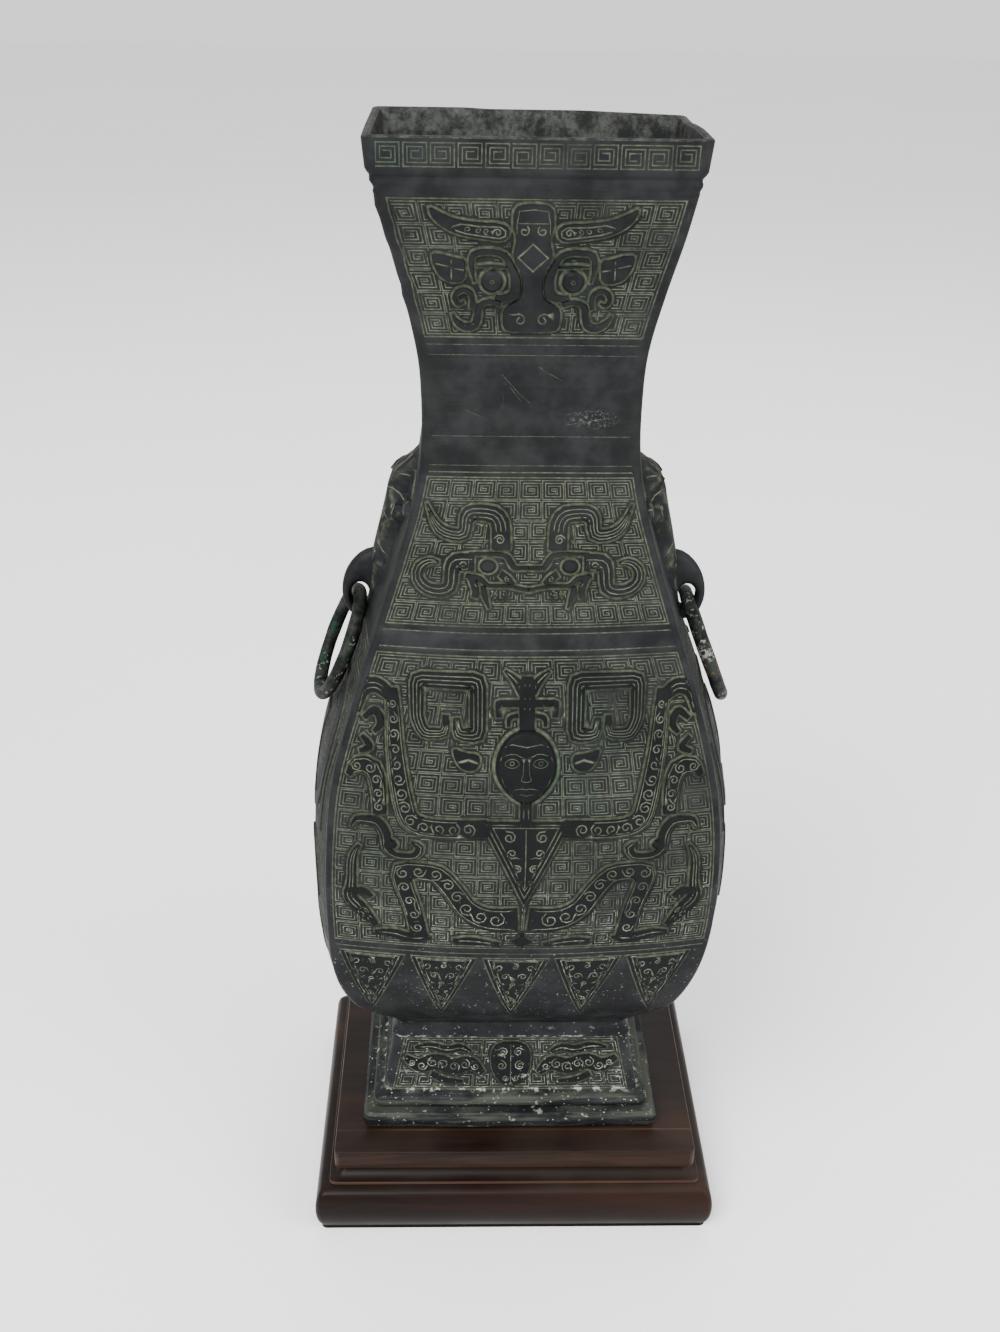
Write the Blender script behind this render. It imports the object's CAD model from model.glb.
# Visual model of an archaistic bronze vase with ring handles on a stepped wooden stand.
# Shapes are worked out in millimetres in the object's own frame and written in metres.
import bpy
import math
import numpy as np
from mathutils import Matrix, Vector
from mathutils.geometry import delaunay_2d_cdt


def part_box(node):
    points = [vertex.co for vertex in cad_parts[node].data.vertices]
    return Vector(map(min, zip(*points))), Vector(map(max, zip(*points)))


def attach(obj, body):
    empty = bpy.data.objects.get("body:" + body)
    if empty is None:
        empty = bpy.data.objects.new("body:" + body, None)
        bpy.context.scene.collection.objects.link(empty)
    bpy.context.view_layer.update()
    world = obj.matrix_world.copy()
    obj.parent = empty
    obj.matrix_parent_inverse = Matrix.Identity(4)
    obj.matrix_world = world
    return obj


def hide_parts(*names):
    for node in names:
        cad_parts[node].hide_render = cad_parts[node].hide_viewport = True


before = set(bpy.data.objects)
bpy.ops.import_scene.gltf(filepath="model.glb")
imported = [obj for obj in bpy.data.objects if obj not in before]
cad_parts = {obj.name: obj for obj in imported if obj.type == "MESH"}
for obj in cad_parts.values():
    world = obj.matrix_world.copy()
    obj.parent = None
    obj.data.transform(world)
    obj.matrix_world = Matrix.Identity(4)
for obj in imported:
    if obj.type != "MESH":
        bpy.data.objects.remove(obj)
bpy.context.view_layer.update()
random = np.random.default_rng(7)

# Heights of the vase
FOOT_BOTTOM, LOWER_ROLL_TOP, UPPER_ROLL_TOP = 44.8, 55.0, 63.0
FOOT_PANEL_TOP, NECK_TOP = 93.5, 506.0
BLADE_TIP, BLADE_TOP = 129.0, 171.5

# Wall thickness, and how far the foot stands left of the stand's middle
WALL, FOOT_SHIFT = 3.6, 2.2

# Depth of the fine lines, at which patina is fullest, width of the slope beside a figure, gap round each
# spiral, share of a strap's width that its curls take, and how far loose points keep from a groove
FINE_DEPTH, MOAT_SLOPE, CELL_GAP, CURL_SHARE, CLEARANCE = 0.42, 0.3, 0.25, 0.335, 0.9

# Patina of the sunk ground; two other values mark the vase's inside and the hollow foot
GROUND_PATINA, INSIDE_PATINA, HOLLOW_PATINA = 0.09, -0.5, 0.2

# Marks in the relief: on the border, touching a figure, farther than any figure, and no figure at all
ON_BORDER, TOUCHING, FAR, NOWHERE = -1.0, 1e-4, 100, 1e3

# Rows of z, half width, half depth, swell of the sides, swell of the wide faces, corner radius
BODY = np.array([
    (102, 57.6, 36.0, 0, 0.5, 5), (107, 60.2, 39.0, 0.7, 1.5, 4.5), (116, 66.6, 46.6, 2.6, 3.6, 3.5),
    (131, 77.2, 55.8, 6.4, 5.8, 3), (158, 85.0, 63.0, 9.4, 7.2, 2.5), (192, 87.8, 65.0, 9.8, 8, 2.5),
    (226, 87.0, 63.8, 9.0, 8, 2.5), (257, 83.4, 59.8, 7.2, 7.4, 2.5), (290, 74.8, 51.6, 4.8, 6, 2.5),
    (322, 64.2, 42.6, 3.0, 4.5, 2.5), (352, 54.4, 35.4, 2.0, 2.6, 2.5), (376, 48.0, 31.0, 0.8, 1.2, 3),
    (396, 45.1, 29.0, 0, 0.5, 3.5), (414, 44.6, 28.6, 0, 0.4, 4), (436, 45.8, 29.6, 0, 0.4, 4),
    (462, 51.4, 32.0, 0, 0.4, 4), (484, 57.3, 35.0, 0, 0.4, 4), (506, 62.1, 37.6, 0, 0.4, 4)])
FOOT_PANEL = np.array([(63, 64, 42.6, 0, 0.5, 4), (93.5, 58.4, 36.6, 0, 0.5, 5)])
MOUTH_BAND = [(504.6, -0.3), (507.5, 1.0), (518.3, 2.0), (519.5, 1.2)]
SLOPES = np.vstack([(BODY[1] - BODY[0]) / (BODY[1, 0] - BODY[0, 0]),
                    (BODY[2:] - BODY[:-2]) / (BODY[2:, 0] - BODY[:-2, 0])[:, None],
                    (BODY[-1] - BODY[-2]) / (BODY[-1, 0] - BODY[-2, 0])])


def body_at(z):
    """Half width, half depth, swells and corner radius of the body at heights z: a cubic through BODY."""
    z = np.atleast_1d(np.asarray(z, float))
    i = np.clip(np.searchsorted(BODY[:, 0], z, side="right") - 1, 0, len(BODY) - 2)
    span = BODY[i + 1, 0] - BODY[i, 0]
    t = np.clip((z - BODY[i, 0]) / span, 0, 1)[:, None]
    low, high = BODY[i, 1:], BODY[i + 1, 1:]
    slope_low, slope_high = SLOPES[i, 1:] * span[:, None], SLOPES[i + 1, 1:] * span[:, None]
    return ((2 * t**3 - 3 * t**2 + 1) * low + (t**3 - 2 * t**2 + t) * slope_low
            + (3 * t**2 - 2 * t**3) * high + (t**3 - t**2) * slope_high)


def profile(z):
    """The same values anywhere on the vase that carries relief: foot panel, body and mouth band."""
    z = np.atleast_1d(np.asarray(z, float))
    out = body_at(z)
    foot = z < FOOT_PANEL_TOP + 0.01
    t = ((z[foot] - UPPER_ROLL_TOP) / (FOOT_PANEL_TOP - UPPER_ROLL_TOP))[:, None]
    out[foot] = FOOT_PANEL[0, 1:] * (1 - t) + FOOT_PANEL[1, 1:] * t
    band = z > NECK_TOP
    grow = np.interp(z[band], [b[0] for b in MOUTH_BAND], [b[1] for b in MOUTH_BAND])
    out[band] = body_at(np.full(band.sum(), NECK_TOP))
    out[band, 0] += grow
    out[band, 1] += grow
    return out


def on_face(face, s, z):
    """Points of the bare wall of one face, from across and up."""
    width, depth, side, swell, corner = profile(z).T
    if face in ("front", "back"):
        y = depth + swell * (1 - (s / (width - corner)) ** 2)
        return np.stack([s, -y, z], 1) if face == "front" else np.stack([-s, y, z], 1)
    x = width + side * (1 - (s / (depth - corner)) ** 2)
    return np.stack([x, s, z], 1) if face == "right" else np.stack([-x, -s, z], 1)


def face_edge(face, z):
    """Half the width of a face between its corners' roundings."""
    width, depth, _, _, corner = profile(z).T
    return (width if face in ("front", "back") else depth) - corner


def raised_point(face, s, z, height):
    """Points at a height above the wall, along its normal."""
    step = 0.05
    across = on_face(face, s + step, z) - on_face(face, s - step, z)
    up = on_face(face, s, z + step) - on_face(face, s, z - step)
    normal = np.cross(across, up)
    normal /= np.linalg.norm(normal, axis=1)[:, None]
    return on_face(face, s, z) + normal * height[:, None]


# Outlines in face coordinates

def rounded(points, times=2, closed=False):
    """Corner cutting, on points that may carry a width."""
    pts = np.array(points, float)
    for _ in range(times):
        nxt = np.roll(pts, -1, 0) if closed else pts[1:]
        cur = pts if closed else pts[:-1]
        cut = np.stack([cur * 0.75 + nxt * 0.25, cur * 0.25 + nxt * 0.75], 1).reshape(-1, pts.shape[1])
        pts = cut if closed else np.vstack([pts[:1], cut[1:-1], pts[-1:]])
    return pts


def turned_corners(points, radius):
    """An open path with every corner rounded by about the same radius; points may carry a width."""
    pts = np.array(points, float)
    out = [pts[0]]
    for before, corner, after in zip(pts[:-2], pts[1:-1], pts[2:]):
        for_before = min(0.45, radius / np.linalg.norm((before - corner)[:2]))
        for_after = min(0.45, radius / np.linalg.norm((after - corner)[:2]))
        a, c = corner + (before - corner) * for_before, corner + (after - corner) * for_after
        out += [a, (a + 2 * corner + c) / 4, c]
    return np.array(out + [pts[-1]])


def spaced(pts, closed):
    """The same line with points added where a straight stretch is long, so that it follows the wall."""
    longest = 5.0
    out = []
    ends = np.roll(pts, -1, 0) if closed else pts[1:]
    for a, b in zip(pts, ends):
        n = max(1, math.ceil(np.linalg.norm(b - a) / longest))
        out += [a + (b - a) * i / n for i in range(n)]
    return np.array(out if closed else out + [pts[-1]])


def shifted(pts, by, closed=False):
    """A path moved sideways to its left by a distance, or by one distance per point."""
    before = np.roll(pts, 1, 0) if closed else np.vstack([pts[:1], pts[:-1]])
    after = np.roll(pts, -1, 0) if closed else np.vstack([pts[1:], pts[-1:]])
    into, out = pts - before, after - pts
    into /= np.maximum(np.linalg.norm(into, axis=1), 1e-9)[:, None]
    out /= np.maximum(np.linalg.norm(out, axis=1), 1e-9)[:, None]
    along = into + out
    along /= np.maximum(np.linalg.norm(along, axis=1), 1e-9)[:, None]
    widen = 1 / np.clip(np.maximum((along * out).sum(1), (along * into).sum(1)), 0.45, 1)
    return pts + np.stack([-along[:, 1], along[:, 0]], 1) * (by * widen)[:, None]


def band(points, widths, turn=None):
    """Outline of a band of changing width, and its centre line with the width at each point."""
    places = np.linspace(0, len(widths) - 1, len(points))
    path = np.column_stack([points, np.interp(places, np.arange(len(widths)), widths)])
    path = turned_corners(path, turn) if turn else rounded(path)
    centre, half = path[:, :2], path[:, 2] / 2
    return np.vstack([shifted(centre, -half), shifted(centre, half)[::-1]]), path


def circle(s, z, radius, sides=18):
    angle = np.linspace(0, 2 * math.pi, sides, endpoint=False)
    return np.column_stack([s + radius * np.cos(angle), z + radius * np.sin(angle)])


def scroll(s, z, radius, turns, start, hand, steps=11):
    """A small open curl."""
    t = np.linspace(0, 1, steps)
    angle = start + hand * t * turns * 2 * math.pi
    reach = radius * (1 - 0.75 * t)
    return np.column_stack([s + reach * np.cos(angle), z + reach * np.sin(angle)])


def segment_distance(points, outline):
    best = np.full(len(points), 1e9)
    for a, b in zip(outline, np.roll(outline, -1, 0)):
        d = b - a
        t = np.clip(((points - a) @ d) / (d @ d + 1e-12), 0, 1)
        best = np.minimum(best, ((points - a - t[:, None] * d) ** 2).sum(1))
    return np.sqrt(best)


def inside(points, outline):
    x, y = points.T
    hit = np.zeros(len(points), bool)
    for (x0, y0), (x1, y1) in zip(outline, np.roll(outline, -1, 0)):
        if y0 != y1:
            hit ^= ((y0 > y) != (y1 > y)) & (x < (x1 - x0) * (y - y0) / (y1 - y0) + x0)
    return hit


# Everything that stands on or is cut into the wall

class Sketch:
    """Points and joined lines on one face, before it is cut into triangles."""

    def __init__(self):
        self.points, self.tags, self.edges = [], [], []
        self.taken = set()

    def add(self, points, tag=0.0, closed=True):
        first, count = len(self.points), len(points)
        self.points.extend(map(tuple, points))
        self.tags.extend([tag] * count)
        self.edges.extend((first + i, first + i + 1) for i in range(count - 1))
        if closed:
            self.edges.append((first + count - 1, first))

    def groove(self, path, width, depth, closed):
        """A V-shaped groove, which keeps loose points away."""
        half = np.full(len(path), width / 2)
        self.add(path, depth, closed)
        self.add(shifted(path, half, closed), 0.0, closed)
        self.add(shifted(path, -half, closed), 0.0, closed)
        ends = np.roll(path, -1, 0) if closed else path[1:]
        for a, b in zip(path, ends):
            n = max(1, int(np.linalg.norm(b - a) / 0.5))
            for t in range(n + 1):
                at = a + (b - a) * t / n
                self.taken.add((int(at[0] // CLEARANCE), int(at[1] // CLEARANCE)))

    def scatter(self, spots):
        """Loose points where no groove and no other loose point is near."""
        for s, z in spots:
            cell = (int(s // CLEARANCE), int(z // CLEARANCE))
            if any((cell[0] + a, cell[1] + b) in self.taken for a in (-1, 0, 1) for b in (-1, 0, 1)):
                continue
            self.taken.add(cell)
            self.points.append((s, z))
            self.tags.append(0.0)


class Relief:
    """The figures, grooves and spirals of one face between two heights."""

    def __init__(self, face, bottom, top):
        self.face, self.bottom, self.top = face, bottom, top
        self.figures, self.domes, self.panels, self.grooves, self.fine = [], [], [], [], []
        self.ridge = None
        self.slide = np.zeros(2)

    def figure(self, outline, top=1.1, bevel=0.4, moat=1.0, low=-0.5, levels=1):
        outline = spaced(np.array(outline, float) + self.slide, True)
        following = np.roll(outline, -1, 0)
        if (outline[:, 0] * following[:, 1] - following[:, 0] * outline[:, 1]).sum() < 0:
            outline = outline[::-1]
        self.figures.append((outline, top, bevel, moat, low, levels))

    def both(self, outline, **look):
        self.figure(outline, **look)
        self.figure(np.array(outline) * [-1, 1], **look)

    def groove(self, path, width=0.8, depth=0.5, closed=False):
        self.grooves.append((spaced(np.array(path, float) + self.slide, closed), width, depth, closed))

    def grooves_both(self, path, **look):
        self.groove(path, **look)
        self.groove(np.array(path) * [-1, 1], **look)

    def curls(self, *places, **look):
        """Pairs of small curls from place, radius, turns, start and hand."""
        for s, z, radius, turns, start, hand in places:
            self.grooves_both(scroll(s, z, radius, turns, start, hand), **look)

    def strap(self, points, widths, lines=(), curls=0.0, both=True, top=1.1, turn=None):
        """A raised band with lines along it, at shares of its half width, and curls between its borders."""
        outline, path = band(points, widths, turn)
        for side in ([1, -1] if both else [1]):
            flip = np.array([side, 1])
            self.figure(outline * flip, top=top)
            for share in lines:
                inner = path[1:-1] if len(path) > 4 else path
                line = shifted(inner[:, :2], inner[:, 2] / 2 * share)
                self.groove(line * flip, width=0.7, depth=FINE_DEPTH)
            if curls:
                steps = np.linalg.norm(np.diff(path[:, :2], axis=0), axis=1)
                length = np.concatenate([[0], np.cumsum(steps)])
                for k, at in enumerate(np.arange(curls, length[-1] - curls * 0.4, curls)):
                    s, z, width = (np.interp(at, length, path[:, j]) for j in range(3))
                    curl = scroll(s, z, width * CURL_SHARE, 1.25, k * 1.9, 1 if k % 2 else -1)
                    self.groove(curl * flip, width=0.8, depth=0.4)

    def signed(self, points):
        """How far each point is outside the nearest figure, negative inside it, and that figure's heights."""
        far = np.full(len(points), NOWHERE)
        height = np.full(len(points), -NOWHERE)
        low = np.zeros(len(points))
        reach = np.zeros(len(points))
        for outline, top, bevel, moat, floor, levels in self.figures:
            near = moat + 0.6
            lowest, highest = outline.min(0) - near, outline.max(0) + near
            k = np.where(((points > lowest) & (points < highest)).all(1))[0]
            if not len(k):
                continue
            d = segment_distance(points[k], outline)
            d = np.where(inside(points[k], outline), -d, d)
            share = np.clip(-d / bevel, 0, 1)
            rise = np.sin(share * math.pi / 2) if levels > 1 else share
            height[k] = np.maximum(height[k], np.where(d <= TOUCHING, floor + (top - floor) * rise, -NOWHERE))
            closer = d < far[k]
            far[k] = np.where(closer, d, far[k])
            low[k] = np.where(closer, floor, low[k])
            reach[k] = np.where(closer, moat, reach[k])
        return far, height, low, reach

    def panel_recess(self, points):
        out = np.zeros(len(points))
        for outline, depth in self.panels:
            out = np.where(inside(points, outline), -depth, out)
        return out

    def leiwen(self, corners, turns, depth=FINE_DEPTH, width=0.62, slack=0.25):
        """Square spiral in one cell with its corners low left, low right, high right and high left."""
        flip = int(random.integers(0, 4))
        pts = [(-1, -1), (1, -1), (1, 1), (-1, 1)]
        pitch = 1 / turns
        r = 1 - pitch
        while r > pitch * 0.3:
            pts += [(-r - pitch, -r), (r, -r), (r, r), (-r, r)]
            r -= pitch
        unit = np.array(pts) * [-1 if flip & 1 else 1, -1 if flip & 2 else 1]
        u, v = (unit[:, 0] + 1) / 2, (unit[:, 1] + 1) / 2
        a, b, c, d = np.array(corners, float)
        line = (a * ((1 - u) * (1 - v))[:, None] + b * (u * (1 - v))[:, None]
                + c * (u * v)[:, None] + d * ((1 - u) * v)[:, None])
        middle = (a + b + c + d) / 4
        line = middle + (line - middle) * (1 - slack / np.linalg.norm(b - a))
        self.fine.append((line, width, depth))

    def leiwen_rows(self, z0, z1, edge, size, turns):
        """Rows of cells between two heights, out to the panel's edge, which is a function of height."""
        rows = max(1, round((z1 - z0) / size))
        step = (z1 - z0) / rows
        for j in range(rows):
            lo, hi = z0 + j * step, z0 + (j + 1) * step
            count = max(2, round(2 * edge((lo + hi) / 2) / (size * 1.12)))
            for i in range(count):
                t0, t1 = 2 * i / count - 1, 2 * (i + 1) / count - 1
                cell = [(edge(lo) * t0 + CELL_GAP, lo + CELL_GAP), (edge(lo) * t1 - CELL_GAP, lo + CELL_GAP),
                        (edge(hi) * t1 - CELL_GAP, hi - CELL_GAP), (edge(hi) * t0 + CELL_GAP, hi - CELL_GAP)]
                self.leiwen(cell, turns)

    def clipped_fine(self):
        """The fine lines without the stretches that figures cover."""
        kept = []
        for line, width, depth in self.fine:
            pieces, corner = [line[:1]], [True]
            for a, b in zip(line[:-1], line[1:]):
                n = max(1, int(np.ceil(np.linalg.norm(b - a) / 1.2)))
                pieces.append(a + (b - a) * (np.arange(1, n + 1) / n)[:, None])
                corner += [False] * (n - 1) + [True]
            kept.append((np.vstack(pieces), corner, width, depth))
        if not kept:
            return []
        far, _, _, reach = self.signed(np.vstack([k[0] for k in kept]))
        free = (far > reach + 0.35) | (far > FAR)
        at = 0
        result = []
        for path, corner, width, depth in kept:
            ok = free[at:at + len(path)]
            at += len(path)
            run = []
            for i in range(len(path) + 1):
                if i < len(path) and ok[i]:
                    run.append(i)
                    continue
                if len(run) > 1:
                    use = [k for k in run if k in (run[0], run[-1]) or corner[k]]
                    result.append((path[use], width, depth, False))
                run = []
        return result

    def sketch(self, border, zs, edge, share):
        """Border, grooves, outlines and loose points of this face."""
        sketch = Sketch()
        sketch.add(border, ON_BORDER)
        for stroke in self.grooves + self.clipped_fine():
            sketch.groove(*stroke)
        for outline, _, bevel, moat, _, levels in self.figures:
            sides = np.ones(len(outline))
            sketch.add(outline)
            for k in range(1, levels + 1):
                sketch.add(shifted(outline, sides * bevel * k / levels, True))
            sketch.add(shifted(outline, -sides * (moat - MOAT_SLOPE), True))
            sketch.add(shifted(outline, -sides * moat, True))
        spots = []
        for j in range(1, len(zs) - 1):
            spots += [(t * edge[j], zs[j]) for t in share[1:-1]]
        for s0, z0, reach_s, reach_z, _ in self.domes:
            across, up = (np.arange(-reach - 1, reach + 1.01, 1.3) for reach in (reach_s, reach_z))
            spots += [(s0 + a, z0 + b) for a in across for b in up]
            sketch.add(circle(0, 0, 1, 28) * [reach_s, reach_z] + [s0, z0])
        if self.ridge:
            spots += [(s, z) for s in np.arange(-13, 13.1, 1.3) for z in np.arange(312, 391, 1.7)]
        sketch.scatter(spots)
        return sketch

    def cut(self, zs, columns):
        """Flat points of this face, their groove depths, which lie on the border, and the triangles."""
        edge = face_edge(self.face, zs)
        share = np.linspace(-1, 1, columns + 1)
        last = len(zs) - 1
        border = ([(t * edge[0], zs[0]) for t in share[:-1]] + [(edge[j], zs[j]) for j in range(last)]
                  + [(t * edge[-1], zs[-1]) for t in share[:0:-1]]
                  + [(-edge[j], zs[j]) for j in range(last, 0, -1)])
        sketch = self.sketch(border, zs, edge, share)
        flat = np.array(sketch.points)
        limit = np.interp(flat[:, 1], zs, edge)[len(border):] - 0.02
        flat[len(border):, 0] = np.clip(flat[len(border):, 0], -limit, limit)
        flat[len(border):, 1] = np.clip(flat[len(border):, 1], zs[0] + 0.02, zs[-1] - 0.02)
        flat = [tuple(p) for p in flat]
        verts, _, faces, sources, _, _ = delaunay_2d_cdt(flat, sketch.edges, [], 1, 1e-4, True)
        plane = np.array([(v[0], v[1]) for v in verts])
        faces = np.array(faces, int)
        middle = plane[faces].mean(1)
        faces = faces[(np.abs(middle[:, 0]) < np.interp(middle[:, 1], zs, edge) - 1e-3)
                      & (middle[:, 1] > zs[0] + 1e-3) & (middle[:, 1] < zs[-1] - 1e-3)]
        found = [[sketch.tags[k] for k in source] or [0.0] for source in sources]
        depth = np.array([max(max(tags), 0) for tags in found])
        rim = np.array([min(tags) < 0 for tags in found])
        return plane, depth, rim, faces

    def build(self, rows, columns):
        """Triangles of this face: points in space, how much patina lies there, and triangles."""
        zs = np.array([z for z in rows if self.bottom - 1e-6 <= z <= self.top + 1e-6])
        plane, depth, rim, faces = self.cut(zs, columns)
        far, height, low, reach = self.signed(plane)
        recess = self.panel_recess(plane)
        patina = np.where(recess < 0, GROUND_PATINA, 0.0)

        # The low border round each figure, then the figures with their dark rubbed tops
        beside = (far > 0) & (far < reach) & (far < FAR)
        slope = np.clip((reach - far) / MOAT_SLOPE, 0, 1)
        out = np.where(beside, recess + (low - recess) * slope, recess)
        patina = np.where(beside, 0.1 + 0.34 * slope, patina)
        up = (far <= TOUCHING) & (height > -FAR)
        out = np.where(up, height, out)
        rise = height - low
        worn_top = 0.06 * np.clip((rise - 0.35) / 0.3, 0, 1)
        patina = np.where(up, np.clip((0.35 - rise) / 0.35, 0, 1) * 0.52 - worn_top, patina)

        # The head's ridge and domes
        s, z = plane.T
        bulge = self.ridge(plane) if self.ridge else np.zeros(len(plane))
        for s0, z0, reach_s, reach_z, proud in self.domes:
            r = ((s - s0) / reach_s) ** 2 + ((z - z0) / reach_z) ** 2
            bulge = np.maximum(bulge, proud * np.sqrt(np.clip(1 - r, 0, 1)))
        on_bulge = bulge > 0.3
        out = np.where(on_bulge, np.maximum(out, np.where(up, height, 0) * 0.8 + bulge), out)
        patina = np.where(on_bulge, 0.16 + 0.14 * np.sin(s * 1.1 + np.sin(z * 0.31) * 2), patina)

        out -= depth
        patina = np.where(depth > 0, np.clip(depth / FINE_DEPTH, 0, 1), patina)
        out[rim] = 0
        patina[rim] = 0
        space = raised_point(self.face, s, z, out)
        space[rim] = on_face(self.face, s[rim], z[rim])
        return space, patina, faces


# The figures with their engraved lines

def neck_figures(r, full=True):
    """Face on the neck: crown, horns, eyes, ears and jaws."""
    r.slide = np.array([-1.0, 0])
    half = [(0, 446.4), (9.8, 446.6), (11.2, 449.5), (11.2, 455.4), (8.8, 457.6), (4.8, 459.6), (3.8, 463),
            (4.2, 469.6), (7, 474), (7.6, 478), (6.5, 481.6), (6.8, 484.4), (7.8, 486.4), (7.8, 493.2),
            (5.4, 495.8), (0, 496.2)]
    crown = np.array(half + [(-s, z) for s, z in half[-2:0:-1]])
    r.figure(rounded(crown, 1, True))
    horn = [(39, 495), (35, 492.8), (29.6, 490.4), (22, 489.2), (11.8, 488.9), (9, 486.8), (9, 483.4),
            (11.6, 481.5), (18.4, 482.4), (25.8, 483.4), (30.8, 485), (35.6, 487.8), (38.8, 491.4)]
    r.both(rounded(horn, 1, True))
    r.grooves_both([(30, 487.6), (27, 488.4), (20, 487.6), (12.4, 487.4), (10.4, 486), (10.6, 484),
            (12.6, 483.2), (18, 483.8), (25, 484.8), (29, 486)])
    for side in (-1, 1):
        r.figure(circle(side * 15.4, 466.4, 4.6, 20), top=1.3, bevel=1.4, levels=2, moat=1.1)
        r.groove(circle(side * 15.4, 466.6, 0.7, 8), 0.6, 0.5, True)
    if not full:
        r.slide = np.zeros(2)
        return
    r.groove([(0, 481.2), (5.6, 476), (0, 470.8), (-5.6, 476)], 1.0, 0.6, True)
    r.strap([(22, 466), (23.6, 472.6), (22.8, 477.4), (15.6, 478.1), (10.6, 477), (8.4, 472.6),
            (6.2, 467.6), (6.4, 461.2), (10.8, 459.8), (14.2, 460.6)],
            [1, 2.2, 2.6, 2.6, 2.6, 2.8, 4, 4.4, 3.2, 2], turn=2.2)
    r.strap([(21.4, 472.3), (16, 472.6), (9.6, 472)], [0.9, 1.7, 1.3])
    leaf = [(38.4, 477.4), (33.8, 477), (29, 475.6), (25.7, 475), (25.5, 470.6), (26, 466.4), (29.4, 465.4),
            (34.6, 467), (37.2, 470.6), (38.4, 474)]
    r.both(rounded(leaf, 1, True))
    r.grooves_both([(36.6, 473.4), (31, 472), (26.4, 471)])
    r.grooves_both([(31, 474.6), (31, 468)])
    r.strap([(23.2, 455.6), (22.6, 459), (23.4, 462), (26.2, 463.4), (29.2, 462), (29.9, 459), (28.2, 457),
            (26, 458.2)], [1.8, 2.2, 2.3, 2.3, 2.3, 2.1, 1.7, 1])
    r.strap([(30.6, 453.6), (29, 450), (25.4, 448), (21.6, 448.8), (20.6, 453), (20.4, 457), (16.4, 459),
            (11.6, 457.6)], [1, 2.6, 3.2, 3.4, 3, 2.6, 2.2, 2.6], turn=2.4)
    r.grooves_both([(28.4, 450.8), (25.6, 449.4), (22.6, 449.8)], width=0.6, depth=0.35)
    r.grooves_both([(6.2, 485), (6.2, 488.6), (5.4, 493.4), (0, 494)], width=0.6, depth=0.35)
    r.groove([(-5.6, 488.9), (5.6, 488.9)], 0.6, 0.35)
    r.curls((4.6, 451.6, 2.7, 0.95, 0.9, 1), (3.5, 486.1, 2.1, 0.95, 2.2, 1),
            (13.4, 485.3, 1.6, 0.95, 0.4, 1), width=0.9)
    horn_curls = [(s, 485.6 + (s - 14) * 0.08, 1.3, 0.8, s, 1) for s in (17.5, 21, 24.5)]
    r.curls(*horn_curls, width=0.6, depth=0.35)
    r.slide = np.zeros(2)


def shoulder_figures(r, full=True):
    """Face on the shoulder: horns, brow straps, eyes and nose."""
    r.strap([(42.4, 375.6), (40.4, 370), (37.4, 364.8), (32, 362.8), (26.6, 363), (26.4, 370.4),
            (24, 372.4), (14.8, 371.8), (12, 368), (11.8, 357.2)], [0.8, 2.4, 5, 5, 5.2, 6, 6.6, 7, 7.8, 8],
            lines=(0.5, 0, -0.5), turn=3)
    r.strap([(37.4, 351.6), (41.4, 352.4), (45.8, 349.6), (46.4, 344.4), (42.6, 340.6), (36.8, 339.8),
            (32.4, 341.4), (32.2, 349.4), (30.6, 352), (24.4, 352), (22.8, 352)],
            [1.4, 3, 4.2, 4.8, 5, 5, 5.6, 6, 7, 7.6, 6.8], lines=(0.4, -0.35), turn=2.6)
    r.strap([(25, 355.4), (16, 355.7), (9.4, 355), (7.4, 351.6), (6.2, 349.8), (0, 350)],
            [1.6, 1.6, 2.2, 3, 2, 2], turn=1.6)
    eye = circle(0, 0, 1, 18) * [3.7, 3.0] + [17.1, 350.5]
    r.both(eye, top=1.2, bevel=1.2, levels=2, moat=0.9)
    if not full:
        return
    r.strap([(26.4, 346.6), (20, 345.6), (17.4, 342.7), (8, 342.7), (0, 341)], [2, 2.4, 1.8, 1.6, 1.8],
            turn=1.4)
    r.strap([(12, 347.6), (9, 345.6), (6.4, 343.4)], [3, 3.4, 2])
    r.strap([(19, 342.6), (18.4, 339), (16.4, 333.6)], [2, 3, 0.9])
    for side in (-1, 1):
        r.groove(circle(side * 11.8, 338.8, 2.4, 14), 1.0, 0.5, True)
    r.strap([(24, 346), (21.8, 340.6), (22.6, 337.8)], [3, 3.2, 2.6])
    r.curls((27.1, 350.9, 2.6, 1.3, 2.4, 1), (12.4, 361.4, 2.2, 1.4, 0.4, 1), width=0.9)
    r.curls((21.8, 343.4, 1.4, 1.0, 1.4, 1), (9, 345.4, 1.2, 1.0, 1.4, -1), width=0.7)


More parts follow.
